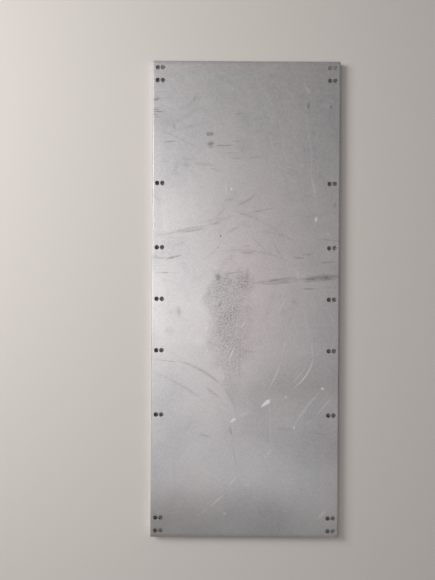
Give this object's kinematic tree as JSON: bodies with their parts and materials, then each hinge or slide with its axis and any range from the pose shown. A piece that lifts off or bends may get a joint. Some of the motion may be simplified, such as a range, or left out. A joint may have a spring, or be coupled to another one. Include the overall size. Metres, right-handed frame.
{
  "type": "steel plate",
  "caption": "Flat rectangular plate of zinc-coated sheet steel, both long edges folded down, with rows of paired bolt holes beside each long edge.",
  "frame": {"origin": "on the ground under the middle of the plate, as it lies on its folded edges with its face up", "axes": "+Z out of the face, +Y along the length towards the end that is uppermost in the picture, +X across the width to the right as the face is looked at"},
  "size_m": [0.73, 1.85, 0.03],
  "materials": {
    "zinc_coated_steel": "hot-dip zinc coating, satin light grey, with handling scratches and scuffs"
  },
  "bodies": {
    "root": {"steel_plate": "zinc_coated_steel"}
  },
  "joints": []
}
